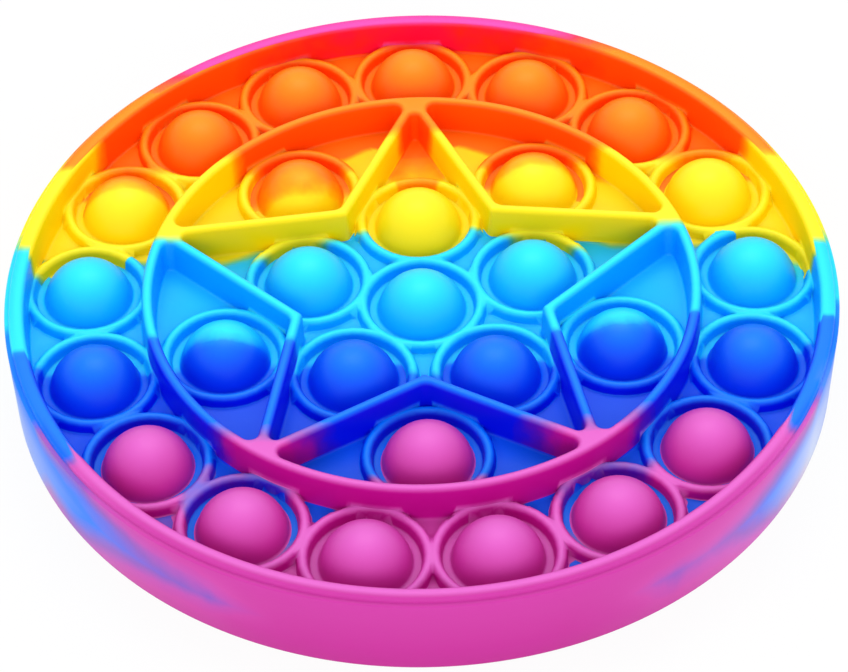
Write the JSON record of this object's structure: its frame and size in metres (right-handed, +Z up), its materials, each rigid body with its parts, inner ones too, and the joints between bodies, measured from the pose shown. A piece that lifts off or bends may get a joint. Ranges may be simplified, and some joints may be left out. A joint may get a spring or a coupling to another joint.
{
  "type": "bubble pop fidget toy",
  "caption": "Round one-piece silicone tray with a star wall and snap-through bubbles, pressed with a fingertip from either side.",
  "frame": {"origin": "centre of the resting face, on the plane that the toy stands on", "axes": "+Z up through the toy, out of the bubbles' domed side; +Y towards the star's tip that lies in the back of the picture"},
  "size_m": [0.1264, 0.1264, 0.015],
  "materials": {
    "silicone": "satin silicone, moulded in bands of pink, orange, yellow, sky blue, blue and pink"
  },
  "bodies": {
    "root": {"bubble_tray": "silicone"}
  },
  "joints": []
}
